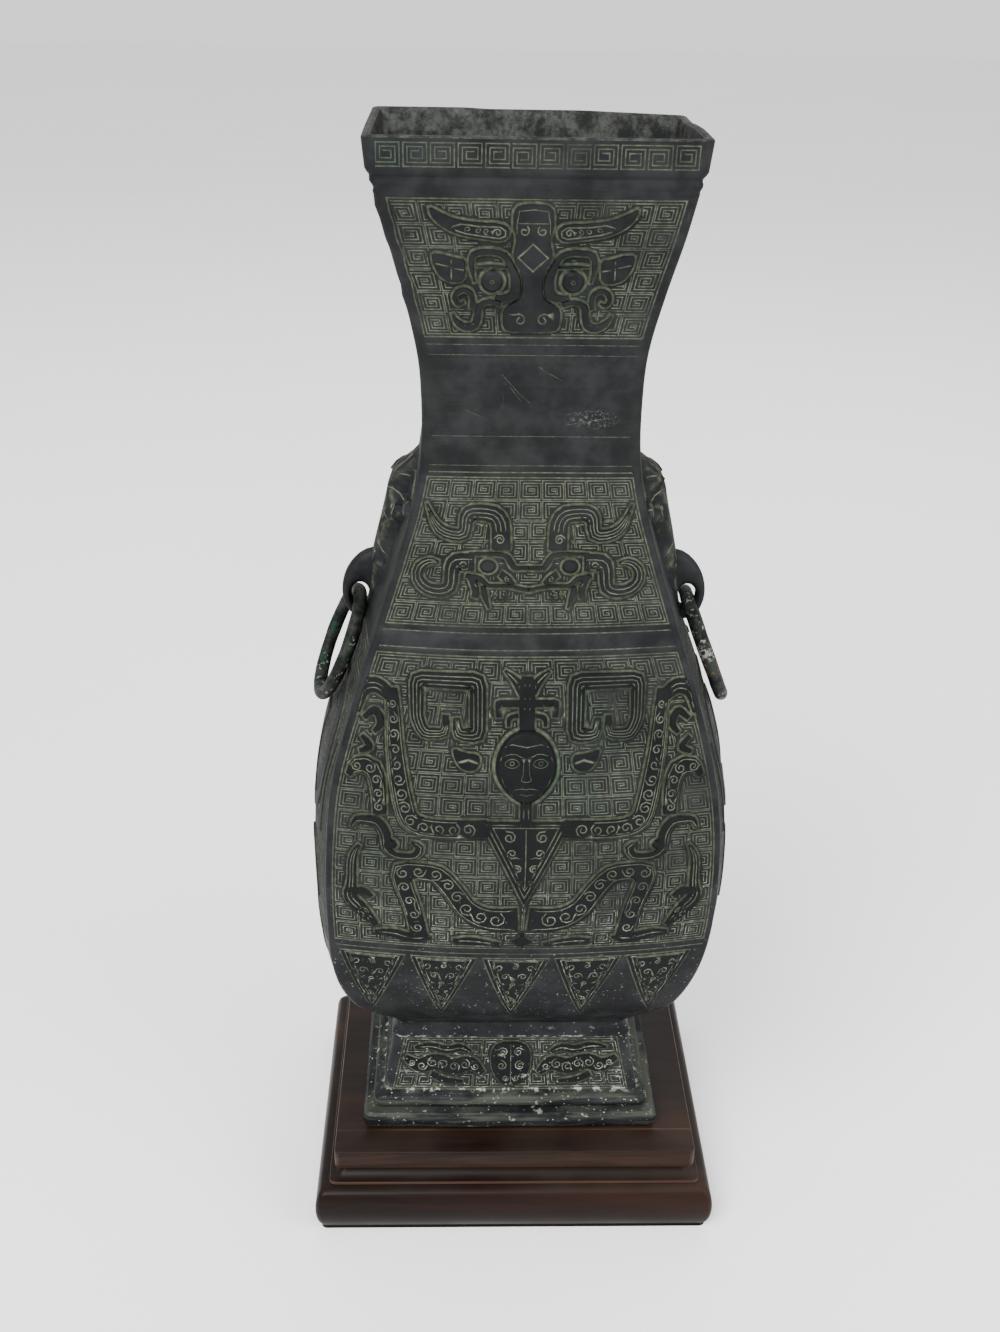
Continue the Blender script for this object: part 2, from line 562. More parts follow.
def face_oval(r):
    """A small calm mask of a general kind: even brows, open eyes, straight nose, closed mouth."""
    angle = np.linspace(0, 2 * math.pi, 32, endpoint=False)
    chin = np.minimum(np.sin(angle), 0) ** 2
    oval = np.column_stack([13.6 * (1 - 0.24 * chin) * np.cos(angle), 268.6 + 16.4 * np.sin(angle)])
    r.figure(oval, top=2.0, bevel=2.6, moat=1.3, levels=3)
    r.groove([(-12.4, 276.4), (-6, 278.6), (0, 277.4), (6, 278.6), (12.4, 276.4)], 0.7, 0.5)
    for side in (-1, 1):
        flip = np.array([side, 1])
        lid = np.array([(2.6, 270.4), (4.4, 272.4), (7.2, 272.6), (9.6, 270.6), (7.4, 268.8), (4.6, 268.8)])
        r.groove(rounded(lid, 1, True) * flip, 0.55, 0.5, True)
        r.groove(circle(side * 6.1, 270.7, 0.9, 8), 0.5, 0.4, True)
        r.groove(rounded([(2.2, 273.4), (5.4, 275), (10.4, 273.4)], 1) * flip, 0.6, 0.4)
        r.groove(rounded([(1.2, 271), (1.3, 265.6), (2.4, 263.4), (0.6, 262.8)], 1) * flip, 0.5, 0.45)
        r.groove(rounded([(10.6, 266), (9.6, 261.4), (6.4, 257)], 1) * flip, 0.5, 0.3)
    r.groove([(-4, 259.6), (-1.6, 259.9), (0, 259.6), (1.6, 259.9), (4, 259.6)], 0.6, 0.5)
    r.groove([(-2.4, 257.4), (0, 256.8), (2.4, 257.4)], 0.5, 0.3)


def belly_figures(r, full=True):
    """Straps, hanging triangle, calm mask and hooked strokes at the sides of the belly."""
    r.strap([(34.6, 290), (34.8, 282.2), (44, 281.8), (46.9, 288), (46.9, 304), (20.8, 304), (20.8, 282),
            (29.4, 282), (30, 289)], [2.8, 4.2, 5, 5.6, 6.4, 7.2, 7, 4.8, 3], lines=(0.0, 0.5, -0.5),
            turn=2.4)
    r.strap([(57.6, 300), (57, 288), (56.3, 276), (54.4, 262), (52.4, 251), (50.4, 243.4), (44.6, 240.4),
            (34, 240), (16.6, 241)], [5, 6.6, 7.4, 8.4, 8.8, 9, 9, 9, 8.6], lines=(0.8, 0.55, -0.78),
            curls=6.4, turn=4.5)
    triangle = np.array([(-19.8, 244.6), (0, 202.2), (19.8, 244.6)])
    r.figure(triangle)
    for inset in (1.9, 3.6):
        r.groove([(-19.8 + inset * 1.55, 244.6 - inset * 0.8), (0, 202.2 + inset * 2.35),
                (19.8 - inset * 1.55, 244.6 - inset * 0.8)], 0.75, 0.45, True)
    r.curls((7.2, 237.2, 3.1, 1.3, 1.2, 1), (6.0, 229.4, 2.6, 1.3, 4.0, 1), (3.6, 221.6, 2.0, 1.3, 1.2, 1),
            (2.2, 215, 1.3, 1.3, 4, 1), width=0.85, depth=FINE_DEPTH)
    r.groove([(0, 240.6), (0, 212)], 0.7, 0.4)
    r.strap([(45.4, 181.8), (48.8, 200), (52.8, 212), (54, 218.8), (46, 219), (37.6, 218.2), (31, 209.8),
            (25.4, 200.4), (18, 195.4), (10, 194.4), (2.2, 195)],
            [8, 7.6, 8.4, 8.6, 8.4, 8.8, 9.4, 10, 11.6, 12.4, 12.6], lines=(0.8, -0.8), curls=7.4, turn=3.6)
    face_oval(r)
    if not full:
        return
    r.strap([(0, 306.4), (0, 300), (0, 284)], [5, 7, 6.6], both=False, lines=(0.3, -0.3))
    r.strap([(0.4, 295.3), (12.2, 295.3), (11.8, 289.4)], [3.2, 3.2, 2.6], turn=1.2)
    r.strap([(2, 299.6), (4.6, 304.6), (9.4, 308.6)], [4, 4, 1.2], lines=(0.0,))
    r.strap([(3.8, 290.4), (7.8, 289.4), (7.8, 285.6)], [2, 2.2, 1.6])
    leaf = [(32, 276.6), (26, 274.4), (20, 274), (19.4, 270), (21.8, 266.4), (27.6, 267), (30.6, 271)]
    r.both(rounded(leaf, 2, True))
    r.grooves_both([(27.4, 270.8), (24.6, 271.6), (21.6, 270.6)], width=1.5, depth=0.6)
    r.strap([(0, 253), (0, 243)], [5, 5.4], both=False, lines=(0.4, -0.4))
    r.strap([(75, 238), (73.4, 242.7), (63.6, 242.5), (60, 236), (60.4, 229), (56, 225.8), (47.2, 226),
            (45, 231), (49.4, 233)], [1.8, 3, 4.6, 5, 3.6, 3, 3.6, 4, 1.6], lines=(0.4,), turn=2.6)
    for side in (-1, 1):
        r.figure(circle(side * 57.5, 231.4, 2.3, 14), top=1.5, bevel=1.1, levels=2, moat=1.2)
    r.strap([(72.4, 289), (70.4, 299), (64, 301.2), (58.8, 297)], [2.6, 6.2, 6.6, 5.6], lines=(0.3, -0.3))
    r.strap([(69.6, 286.6), (64.4, 291.4), (61.8, 284.6), (65.4, 281)], [2.2, 3.4, 3.4, 1.8])
    r.strap([(76.2, 262), (72.4, 267.4), (65, 266.4), (63, 257), (62.8, 245.4)], [2.6, 7, 8, 6.6, 6],
            lines=(0.72, -0.72), curls=6, turn=4)
    r.strap([(70.4, 279.4), (66, 274.6), (71.4, 272.6)], [2, 3.4, 2])
    r.strap([(72, 230), (75.4, 224), (75.6, 209), (77.4, 203), (71, 196.4), (64.6, 188.4)],
            [1.4, 4, 4.4, 6.4, 6.4, 2.2], lines=(0.3, -0.3))
    r.strap([(76, 205), (70.6, 207.8), (66.4, 204)], [3, 3.6, 1.6])
    for side in (-1, 1):
        r.groove(circle(side * 70.6, 195.4, 2.3, 12), 0.8, 0.45, True)
    r.strap([(66, 184.6), (58, 185.2), (49, 182.4), (40, 183.6)], [1.6, 4.6, 5, 1.6], lines=(0.0,))
    r.strap([(31, 182.4), (22, 182.8), (9.6, 180.6)], [1.6, 4.4, 1.6], lines=(0.0,))
    r.figure([(0, 187), (2.2, 184), (5, 182.6), (2.2, 181), (0, 178.6), (-2.2, 181), (-5, 182.6),
            (-2.2, 184)], moat=0.5)


def blade_figures(r, count, ornate=True):
    """A row of hanging blades above the foot."""
    spacing, middle = (32.6, -1.8) if count == 5 else (34, 0)
    half = 15.0
    for i in range(count):
        s = (i - (count - 1) / 2) * spacing + middle
        r.figure([(s - half, BLADE_TOP), (s, BLADE_TIP), (s + half, BLADE_TOP)], top=0.5, moat=0.6,
                low=-0.2)
        for inset in (1.7, 3.2) if ornate else (1.8,):
            r.groove([(s - half + inset * 1.5, BLADE_TOP - 0.5 * inset), (s, BLADE_TIP + inset * 2.6),
                    (s + half - inset * 1.5, BLADE_TOP - 0.5 * inset)], 0.75, 0.45, True)
        if not ornate:
            continue
        for a, z, size, start in ((0, 166.4, 1.5, 1.0), (7.4, 166, 2.5, 0.4), (-7.4, 166, 2.5, 2.8),
                (3.9, 160, 2.2, 3.4), (-3.9, 160, 2.2, 0), (0, 154.6, 1.5, 4), (5.2, 154, 1.4, 2.6),
                (-5.2, 154, 1.4, 0.6), (2.4, 148.6, 1.7, 0.8), (-2.4, 148.6, 1.7, 2.2), (0, 143, 1.4, 1.6)):
            r.groove(scroll(s + a, z, size, 1.1, start, 1 if a < 0 else -1, 9), 0.75, 0.42)
        for a, z in ((8, 158.6), (5.6, 149.6), (2.6, 142.4), (1.0, 138.6), (10, 162.4)):
            for side in (-1, 1):
                r.groove([(s + side * a, z), (s + side * (a - 0.9), z - 2.4)], 0.7, 0.42)


def foot_figures(r):
    """A worn figure and strokes on the foot panel."""
    r.figure(rounded([(-4, 66), (4, 66), (9.5, 73), (10.5, 84), (7, 90.6), (-7, 90.6), (-10.5, 84),
            (-9.5, 73)], 1, True), moat=0.7, top=0.9)
    r.curls((3.8, 85, 2.6, 1.3, 0.6, 1), (4.6, 77.4, 2.6, 1.3, 2.0, 1), (2.6, 70.4, 1.8, 1.3, 3.2, 1))
    r.groove([(0, 88.6), (0, 68)], 0.6, 0.4)
    r.strap([(14, 73), (20, 79.6), (29, 76), (38, 80.4), (46, 76), (53, 82)], [3, 8, 8.6, 8.6, 7.6, 3],
            curls=5.6, top=0.9)
    r.strap([(20, 84.6), (25, 88), (32, 85.6), (40, 88.6), (48, 87)], [2, 4, 4.4, 4, 1.6], lines=(0.0,),
            top=0.9)
    r.strap([(40, 72.6), (34, 69), (24, 68.4)], [3.4, 3.4, 1.6], top=0.9)


def side_figures(r):
    """Plainer straps on the narrow faces."""
    r.strap([(13, 296), (34, 286), (42, 262), (38, 236), (20, 224), (8, 236)], [3, 6.4, 7.6, 7.6, 6.4, 3],
            lines=(0.6, -0.6), top=0.7)
    r.strap([(40, 184), (38, 206), (24, 212), (12, 196)], [5, 7.4, 7.4, 4], lines=(0.5, -0.5), top=0.7)
    r.figure([(-13, 268), (0, 214), (13, 268)], top=0.7)
    r.groove([(-9.4, 265.8), (0, 226), (9.4, 265.8)], 0.7, 0.42, True)
    r.strap([(50, 272), (47, 250), (49.6, 226)], [2, 5, 2], top=0.7)


# Height up the head, how far it stands out and half its width
MASK_Z = [312, 320, 329, 336, 343.6, 351, 360, 370, 375.5, 379, 382, 386, 389]
MASK_OUT = [0, 1.5, 4.2, 6.3, 7.2, 8, 8.8, 9.8, 9.4, 8, 5.4, 1.9, 0]
MASK_HALF = [5, 6, 7.4, 9.4, 11, 9.8, 8.6, 10, 12, 12, 11, 8, 5]


def mask_ridge(p):
    """The head's long smooth back, from the brow down to the jaw, standing off the wall."""
    out = np.interp(p[:, 1], MASK_Z, MASK_OUT, 0, 0)
    half = np.interp(p[:, 1], MASK_Z, MASK_HALF)
    return out * np.clip(1 - np.abs(p[:, 0] / half) ** 2.4, 0, 1) ** 0.6


def mask_figures(r):
    """Animal head over each loop: muzzle, nose, crown, eyes, ears and horns."""
    r.ridge = mask_ridge
    for side in (-1, 1):
        eye_bulge, ear = (side * 9, 362, 5, 4.6, 6.2), (side * 20, 369, 8, 4, 2.8)
        r.domes += [eye_bulge, ear]
        horn, path = band(np.array([(6, 373), (10, 380), (18, 379.6), (21, 374.5), (16, 373)]) * [side, 1],
                [5, 5.4, 5, 4, 1.6])
        r.figure(horn, top=2.0, bevel=1.4, levels=3, moat=0.5, low=0)
        r.groove(path[2:-2, :2], 0.7, 0.5)
        r.groove(circle(side * 9, 362, 2.4, 12), 0.7, 0.6, True)
        r.groove([(side * 16, 369.4), (side * 24, 369.8)], 0.7, 0.5)
        r.groove(rounded([(side * 2.6, 352), (side * 5, 346), (side * 9.4, 343.6)], 1), 0.7, 0.6)
        r.groove(scroll(side * 3.6, 356.4, 1.8, 1.2, 0.5, side), 0.6, 0.5)
        r.groove(rounded([(side * 3, 369), (side * 7.6, 370.6), (side * 12.6, 366.6)], 1), 0.8, 0.6)
        r.groove(rounded([(side * 2, 384), (side * 4.4, 378), (side * 3.4, 372)], 1), 0.8, 0.5)
        r.groove(rounded([(side * 5, 340), (side * 4, 333), (side * 2, 327)], 1), 0.8, 0.5)
    for z in (358, 364.4):
        r.groove([(-2.6, z - 0.6), (0, z), (2.6, z - 0.6)], 0.6, 0.5)


# Steps of the mesh across the faces and round the corners, and the heights of what they carry
WIDE_COLUMNS, NARROW_COLUMNS, CORNER_STEPS = 22, 14, 4
COLUMNS = {"front": WIDE_COLUMNS, "back": WIDE_COLUMNS, "left": NARROW_COLUMNS, "right": NARROW_COLUMNS}
BODY_RELIEF, MOUTH_RELIEF = (118.0, 498.0), (507.5, 518.3)
BELLY_PANEL, SHOULDER_PANEL, NECK_PANEL = (177.5, 314.0), (326.0, 386.5), (444.2, 497.4)
FOOT_PANEL_RECESS = (63.9, 92.7)

# Half the width of the wide panels at some heights, border lines, and scratches on the plain neck
PANEL_EDGE_Z = [177.5, 192, 215, 238, 257, 278, 302, 314, 324.5, 386, 390, 444.2, 497.4]
PANEL_EDGE = [85.2, 86.3, 86.4, 84.6, 81.6, 77.0, 69.6, 65.6, 60.4, 44.2, 44, 45.0, 58.4]
BORDER_LINES = [174.2, 316.6, 323.4, 388.6, 391.4, 403.5, 437, 441.2]
NECK_SCRATCHES = [[(-12, 429), (-6, 422), (-1, 417.4)], [(-9, 424), (-4.6, 418)], [(4, 431), (12, 426.6)],
                  [(-26, 414), (-20, 411.4)], [(14, 408.4), (31, 411.6)]]


def wide_edge(z):
    return float(min(np.interp(z, PANEL_EDGE_Z, PANEL_EDGE), face_edge("front", z)[0] - 0.7))


def narrow_edge(z):
    return float(face_edge("right", z)[0] - 1.8)


def add_panel(r, bottom, top, edge, size, turns):
    """A slightly sunk panel with a border line and rows of spirals."""
    recess, border_width, border_depth = 0.12, 0.9, 0.22
    zs = np.linspace(bottom, top, 12)
    outline = np.array([(edge(z), z) for z in zs] + [(-edge(z), z) for z in zs[::-1]])
    r.panels.append((outline, recess))
    r.groove(outline, border_width, border_depth, True)
    r.leiwen_rows(bottom + 0.8, top - 0.8, lambda z: edge(z) - border_width, size, turns)


def body_relief(face):
    r = Relief(face, *BODY_RELIEF)
    wide, front = face in ("front", "back"), face == "front"
    edge = wide_edge if wide else narrow_edge
    size, turns = (9.4, 3.4) if front else (12.5, 3.0)
    if wide:
        neck_figures(r, front)
        shoulder_figures(r, front)
        belly_figures(r, front)
        blade_figures(r, 5, front)
    else:
        side_figures(r)
        mask_figures(r)
        blade_figures(r, 3, False)
    add_panel(r, *BELLY_PANEL, edge, size, turns)
    if wide:
        add_panel(r, *SHOULDER_PANEL, edge, size * 0.92, turns)
    add_panel(r, *NECK_PANEL, edge, size * 0.95, turns)
    if front:
        for scratch in NECK_SCRATCHES:
            r.groove(scratch, 0.5, 0.14)
    for z in BORDER_LINES:
        reach = float(face_edge(face, z)[0]) - 1.0
        if wide or not MASK_Z[0] < z < MASK_Z[-1] + 6:
            r.groove([(-reach, z), (reach, z)], 0.8, 0.13 if z > 390 else 0.24)
    return r


def foot_relief(face):
    def edge(z):
        return float(face_edge(face, z)[0] - 0.7)

    r = Relief(face, UPPER_ROLL_TOP, FOOT_PANEL_TOP)
    if face in ("front", "back"):
        foot_figures(r)
    add_panel(r, *FOOT_PANEL_RECESS, edge, 8.6 if face == "front" else 11, 3.0)
    return r


def mouth_relief(face):
    """Key fret around the mouth band: one row of square spirals."""
    r = Relief(face, *MOUTH_RELIEF)
    reach = float(face_edge(face, 513)[0]) - 0.3
    count = 12 if face in ("front", "back") else 7
    low, high = 508.6, 517.4
    for i in range(count):
        s0, s1 = reach * (2 * i / count - 1) + 0.5, reach * (2 * (i + 1) / count - 1) - 0.5
        r.leiwen([(s0, low), (s1, low), (s1, high), (s0, high)], 2.9, 0.19, 0.9, 0.4)
    return r


# The walls between the carved faces

def roll_rows(bottom, top, half_width, half_depth, swell):
    rows = []
    for a in np.linspace(0, math.pi, 9):
        z, out = bottom + (top - bottom) * (1 - math.cos(a)) / 2, swell * math.sin(a)
        rows.append((z, half_width + out, half_depth + out, 0, 0.5, 4))
    return rows


def row(z, out=0.0, at=None):
    """A section at one height, moved outwards, shaped as the vase is there or at another height."""
    width, depth, side, face, corner = profile(z if at is None else at)[0]
    return (z, width + out, depth + out, side, face, corner)


def section_ring(section):
    """One closed section of the vase and, for each of its stretches, the face that it belongs to."""
    z, width, depth, side, swell, corner = section
    flat_width, flat_depth = width - corner, depth - corner
    wide = np.linspace(-1, 1, WIDE_COLUMNS + 1) * flat_width
    narrow = np.linspace(-1, 1, NARROW_COLUMNS + 1) * flat_depth
    ring, owner = [], []

    def face(name, values, place):
        for s in values:
            ring.append((*place(s), z))
            owner.append(name)
        owner[-1] = ""

    def arc(sx, sy, start):
        for i in range(1, CORNER_STEPS):
            a = start + i / CORNER_STEPS * math.pi / 2
            ring.append((sx * flat_width + corner * math.cos(a), sy * flat_depth + corner * math.sin(a), z))
            owner.append("")

    def out_wide(s):
        return depth + swell * (1 - (s / flat_width) ** 2)

    def out_narrow(s):
        return width + side * (1 - (s / flat_depth) ** 2)

    face("front", wide, lambda s: (s, -out_wide(s)))
    arc(1, -1, -math.pi / 2)
    face("right", narrow, lambda s: (out_narrow(s), s))
    arc(1, 1, 0)
    face("back", wide, lambda s: (-s, out_wide(s)))
    arc(-1, 1, math.pi / 2)
    face("left", narrow, lambda s: (-out_narrow(s), -s))
    arc(-1, -1, math.pi)
    return np.array(ring), owner


def merged(chunks):
    """One mesh out of (points, patina, triangles) chunks, whose shared border points become one."""
    points = np.vstack([c[0] for c in chunks])
    patina = np.concatenate([c[1] for c in chunks])
    firsts = np.cumsum([0] + [len(c[0]) for c in chunks[:-1]])
    faces = np.vstack([c[2] + first for c, first in zip(chunks, firsts)])
    _, index, inverse = np.unique(np.round(points, 3), axis=0, return_index=True, return_inverse=True)
    faces = inverse.reshape(-1)[faces]
    ok = (faces[:, 0] != faces[:, 1]) & (faces[:, 1] != faces[:, 2]) & (faces[:, 2] != faces[:, 0])
    return points[index], patina[index], faces[ok]


def waves(p, size, seed):
    """Slow, smooth unevenness between about -1 and 1."""
    rng = np.random.default_rng(seed)
    total = np.zeros(len(p))
    for _ in range(6):
        k = rng.normal(size=3) / size * 2.2
        total += np.sin(p @ k + rng.uniform(0, 6.28))
    return total / 3.2


def mesh_object(name, points, patina, faces, sharp=0.55):
    """A Blender mesh from points in millimetres; edges steeper than the angle stay sharp."""
    mesh = bpy.data.meshes.new(name)
    mesh.vertices.add(len(points))
    mesh.vertices.foreach_set("co", (np.asarray(points) / 1000).astype(np.float32).ravel())
    faces = np.asarray(faces, np.int32)
    mesh.loops.add(faces.size)
    mesh.loops.foreach_set("vertex_index", faces.ravel())
    mesh.polygons.add(len(faces))
    mesh.polygons.foreach_set("loop_start", np.arange(0, faces.size, 3, dtype=np.int32))
    mesh.update(calc_edges=True)
    mesh.validate()
    layer = mesh.attributes.new("patina", "FLOAT", "POINT")
    layer.data.foreach_set("value", np.asarray(patina, np.float32))
    mesh.polygons.foreach_set("use_smooth", np.ones(len(mesh.polygons), bool))
    mesh.set_sharp_from_angle(angle=sharp)
    obj = bpy.data.objects.new(name, mesh)
    bpy.context.scene.collection.objects.link(obj)
    return obj


def tube_faces(along, around):
    """Triangles of a closed tube whose points come ring by ring."""
    faces = []
    for i in range(along):
        for j in range(around):
            a, b = i * around + j, i * around + (j + 1) % around
            c, d = (i + 1) % along * around + j, (i + 1) % along * around + (j + 1) % around
            faces += [(a, c, b), (b, c, d)]
    return np.array(faces)


def stack_faces(rings, count, skip=None):
    """Triangles between stacked rings of points, closed at both ends by two middle points that come last."""
    faces = []
    for j in range(rings - 1):
        for i in range(count):
            if skip and skip(j, i):
                continue
            a, b = j * count + i, j * count + (i + 1) % count
            faces += [(a, b, b + count), (a, b + count, a + count)]
    first, end = rings * count, (rings - 1) * count
    for i in range(count):
        faces.append((first, (i + 1) % count, i))
        faces.append((first + 1, end + i, end + (i + 1) % count))
    return np.array(faces)


# The loops: the hole's middle and half sizes, and the outer outline seen from the front
HOLE_X, HOLE_Z, HOLE_HALF_WIDTH, HOLE_HALF_HEIGHT = 72.9, 320.3, 4.1, 5.7
LOOP_OUTLINE = [(62, 310), (68, 308.6), (77.2, 309.8), (81.2, 319), (80.6, 327.6), (77.4, 334.6),
                (71.6, 340.6), (65, 342.6), (60, 340), (61, 325)]
LOOP_HALF_THICKNESS, LOOP_PATINA = 4.6, 0.04


def loop_mesh(side):
    """The handle loop: a thick smooth ear that leaves the muzzle, curls out and down and comes back."""
    around, along = 20, 44
    outer = rounded(LOOP_OUTLINE, 3, True) - [HOLE_X, HOLE_Z]
    outer_angles = np.arctan2(outer[:, 1], outer[:, 0])
    outer_reach = np.hypot(outer[:, 0], outer[:, 1])
    order = np.argsort(outer_angles)

    def squarish(value):
        return math.copysign(abs(value) ** 0.75, value)

    points = []
    for a in np.linspace(-math.pi, math.pi, along, endpoint=False):
        c, s = math.cos(a), math.sin(a)
        inner = 1 / math.hypot(c / HOLE_HALF_WIDTH, s / HOLE_HALF_HEIGHT)
        reach = np.interp(a, outer_angles[order], outer_reach[order], period=2 * math.pi)
        middle, thick = (inner + reach) / 2, (reach - inner) / 2
        for j in range(around):
            t = j / around * 2 * math.pi
            r = middle + thick * squarish(math.cos(t))
            y = LOOP_HALF_THICKNESS * squarish(math.sin(t))
            points.append((side * (HOLE_X + r * c), y, HOLE_Z + r * s))
    faces = tube_faces(along, around)
    return np.array(points, float), np.full(len(points), LOOP_PATINA), faces if side < 0 else faces[:, ::-1]


def vase_rows():
    """Sections of the vase: inside the foot, up the outside, then over the lip and down the inside."""
    hollow = [row(101.0, -WALL, 102), row(92.5, -WALL), row(78.0, -WALL), row(63.0, -WALL),
              row(54.0, -WALL, 63), row(FOOT_BOTTOM, -WALL + 0.6, 63)]
    outside = roll_rows(FOOT_BOTTOM, LOWER_ROLL_TOP, 71.4, 48.6, 2.8)[:-1]
    outside += [(LOWER_ROLL_TOP + 0.2, 66.8, 45.2, 0, 0.5, 4)]
    outside += roll_rows(LOWER_ROLL_TOP + 0.6, UPPER_ROLL_TOP - 0.8, 66.4, 44.8, 2.6)[1:-1]
    outside += [row(z) for z in np.linspace(UPPER_ROLL_TOP, FOOT_PANEL_TOP, 8)]
    outside += [row(94.2, 0.9, 93.5), row(95.6, 1.2, 102), row(97.4, 0.3, 102)]
    outside += [row(z) for z in (99.5, 102, 104.5, 107, 109, 111, 113, 115.4)]
    for low, high, count in ((118, 150, 12), (154, 310, 39), (314, 498, 44)):
        outside += [row(z) for z in np.linspace(low, high, count)]
    for z, out in ((499.2, 0), (500.2, -0.2), (501.1, 0), (502.0, 0.25), (502.9, 0.15), (503.7, -0.3)):
        outside.append(row(z, out))
    outside += [row(504.9, -0.4, 504.5), row(506.2, 0.3, 506)]
    outside += [row(z) for z in np.linspace(*MOUTH_RELIEF, 4)]
    _, width, depth, _, _, corner = row(MOUTH_RELIEF[1])
    lip = [(z, width + out, depth + out, 0, 0.4, corner - 1.5) for z, out in (
        (519.1, -0.3), (519.5, -1.1), (519.4, -2.3), (518.6, -3.3), (516.5, -3.9), (510, -4.4))]
    inside_wall = []
    for z in [*np.linspace(502, 400, 18), *np.linspace(385, 140, 20), 132, 126, 121]:
        width, depth, side, swell, corner = body_at(z)[0]
        inside_wall.append((z, width - WALL - 0.4, depth - WALL - 0.4, side, swell, max(corner - 1.4, 1.5)))
    inside_wall.append((117.2, width - WALL - 8, depth - WALL - 8, 0, 0, 3))
    return hollow, outside, lip + inside_wall


def vase_mesh():
    hollow, outside, inner = vase_rows()
    rows = hollow + outside + inner
    first, last = len(hollow), len(hollow) + len(outside)
    zs = [r[0] for r in rows]
    rings = [section_ring(r) for r in rows]
    owner = rings[0][1]
    count = len(owner)
    chunks, spans = [], {"": []}
    for face, columns in COLUMNS.items():
        reliefs = [foot_relief(face), body_relief(face), mouth_relief(face)]
        chunks += [relief.build(zs[first:last], columns) for relief in reliefs]
        spans[face] = [(relief.bottom - 1e-6, relief.top + 1e-6) for relief in reliefs]

    def carved(j, i):
        """Whether a stretch of the wall is replaced by a carved face."""
        return first <= j < last - 1 and any(a <= zs[j] and zs[j + 1] <= b for a, b in spans[owner[i]])

    points = np.vstack([r[0] for r in rings] + [[(0, 0, zs[0])], [(0, 0, zs[-1])]])
    patina = np.zeros(len(points))
    patina[last * count:] = INSIDE_PATINA
    patina[:first * count] = HOLLOW_PATINA
    chunks.append((points, patina, stack_faces(len(rows), count, carved)))
    points, patina, faces = merged(chunks)
    points = settle(points)
    for side in (-1, 1):
        loop_points, loop_patina, loop_faces = loop_mesh(side)
        faces = np.vstack([faces, loop_faces + len(points)])
        points = np.vstack([points, loop_points])
        patina = np.concatenate([patina, loop_patina])
    return points, patina, faces


def rising(value, start, length):
    """0 up to the start, then evenly up to 1 over the length."""
    return np.clip((value - start) / length, 0, 1)


def settle(p):
    """Unevenness of a hand-finished casting: wavy edges, a dip in the rear of the rim, worn corners."""
    p = p.copy()
    x, y, z = p.T
    high = rising(z, 430, 80)
    p[:, 0] += 0.28 * waves(p, 26, 1) * rising(z, 60, 40)
    p[:, 1] += 0.25 * waves(p, 30, 2)
    p[:, 2] -= 1.9 * (rising(x, 20, 60) * rising(y, -10, 30) * rising(z, 490, 30))
    p[:, 2] -= 0.5 * (rising(x, -24, 4) * rising(y, 5, 10) * rising(z, 505, 14))
    corner = rising(-x, 40, 10) * rising(-y, 22, 6) * rising(z, 448, 10) * (z < NECK_TOP)
    p[:, 0] += corner * 0.6 * (np.sin(z * 0.9) * np.sin(z * 0.37 + 1) + 0.2)
    p[:, 0] -= 0.9 * high
    low = rising(-z, -200, 70)
    p[:, 0] -= FOOT_SHIFT * low**2 * (3 - 2 * low)
    return p


# The loose rings: middle circle, half the wire's thickness and the place where they hang
RING_RADIUS, RING_WIRE = 24.8, 3.25
RING_TOP_X, RING_TOP_Z = 73.1, 319


def ring_mesh(side, lean, twist, seed):
    around, along = 18, 96
    rng = np.random.default_rng(seed)
    leaning = Matrix.Rotation(-side * math.radians(lean), 4, "Y")
    turned = (Matrix.Rotation(math.radians(twist), 4, "Z") @ leaning).to_3x3()
    points = []
    dents = rng.uniform(0, 6.28, 6)
    for i in range(along):
        a = i / along * 2 * math.pi
        thick = RING_WIRE * (0.955 + 0.02 * math.sin(3 * a + dents[0]) + 0.018 * math.sin(7 * a + dents[1])
                             + 0.007 * math.sin(17 * a + dents[2]))
        for j in range(around):
            t = j / around * 2 * math.pi
            w = thick * (1 - 0.02 * math.sin(5 * a + 2 * t + dents[3]) ** 2)
            r = RING_RADIUS + w * math.cos(t)
            place = turned @ Vector((w * math.sin(t), r * math.cos(a), -RING_RADIUS + r * math.sin(a)))
            points.append((place.x + side * RING_TOP_X, place.y, place.z + RING_TOP_Z))
    return np.array(points), rng.uniform(0, 0.3, len(points)), tube_faces(along, around)


# The stand's boards
BASE_TOP, BASE_BULGE = 25.5, 4.4
PLATFORM_BOTTOM, PLATFORM_TOP, PLATFORM_WIDTH, PLATFORM_DEPTH = 25.8, 44.5, 180, 133
SEAM = (-0.0514, PLATFORM_TOP / 1000)


def board_mesh(width, depth, offsets):
    """A board as a stack of rounded rectangles; offsets are inset and height."""
    corner, steps = 3.0, 6
    points = []
    for inset, z in offsets:
        w, d = width / 2 - inset - corner, depth / 2 - inset - corner
        for quarter in range(4):
            sx, sy = (1 if quarter in (0, 3) else -1), (1 if quarter < 2 else -1)
            for i in range(steps + 1):
                a = (quarter + i / steps) * math.pi / 2
                points.append((sx * w + corner * math.cos(a), sy * d + corner * math.sin(a), z))
    points += [(0, 0, offsets[0][1]), (0, 0, offsets[-1][1])]
    return np.array(points), np.zeros(len(points)), stack_faces(len(offsets), 4 * (steps + 1))


def base_board():
    offsets = [(2.6, 0.0)]
    middle = BASE_TOP / 2
    for a in np.linspace(-0.43, 0.43, 15) * math.pi:
        offsets.append((BASE_BULGE * (1 - math.cos(a)), middle + (middle - 0.9) * math.sin(a)))
    offsets += [(5.4, 25.15), (9, BASE_TOP)]
    low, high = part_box("stand_base_board")
    return board_mesh((high[0] - low[0]) * 1000, (high[1] - low[1]) * 1000, offsets)


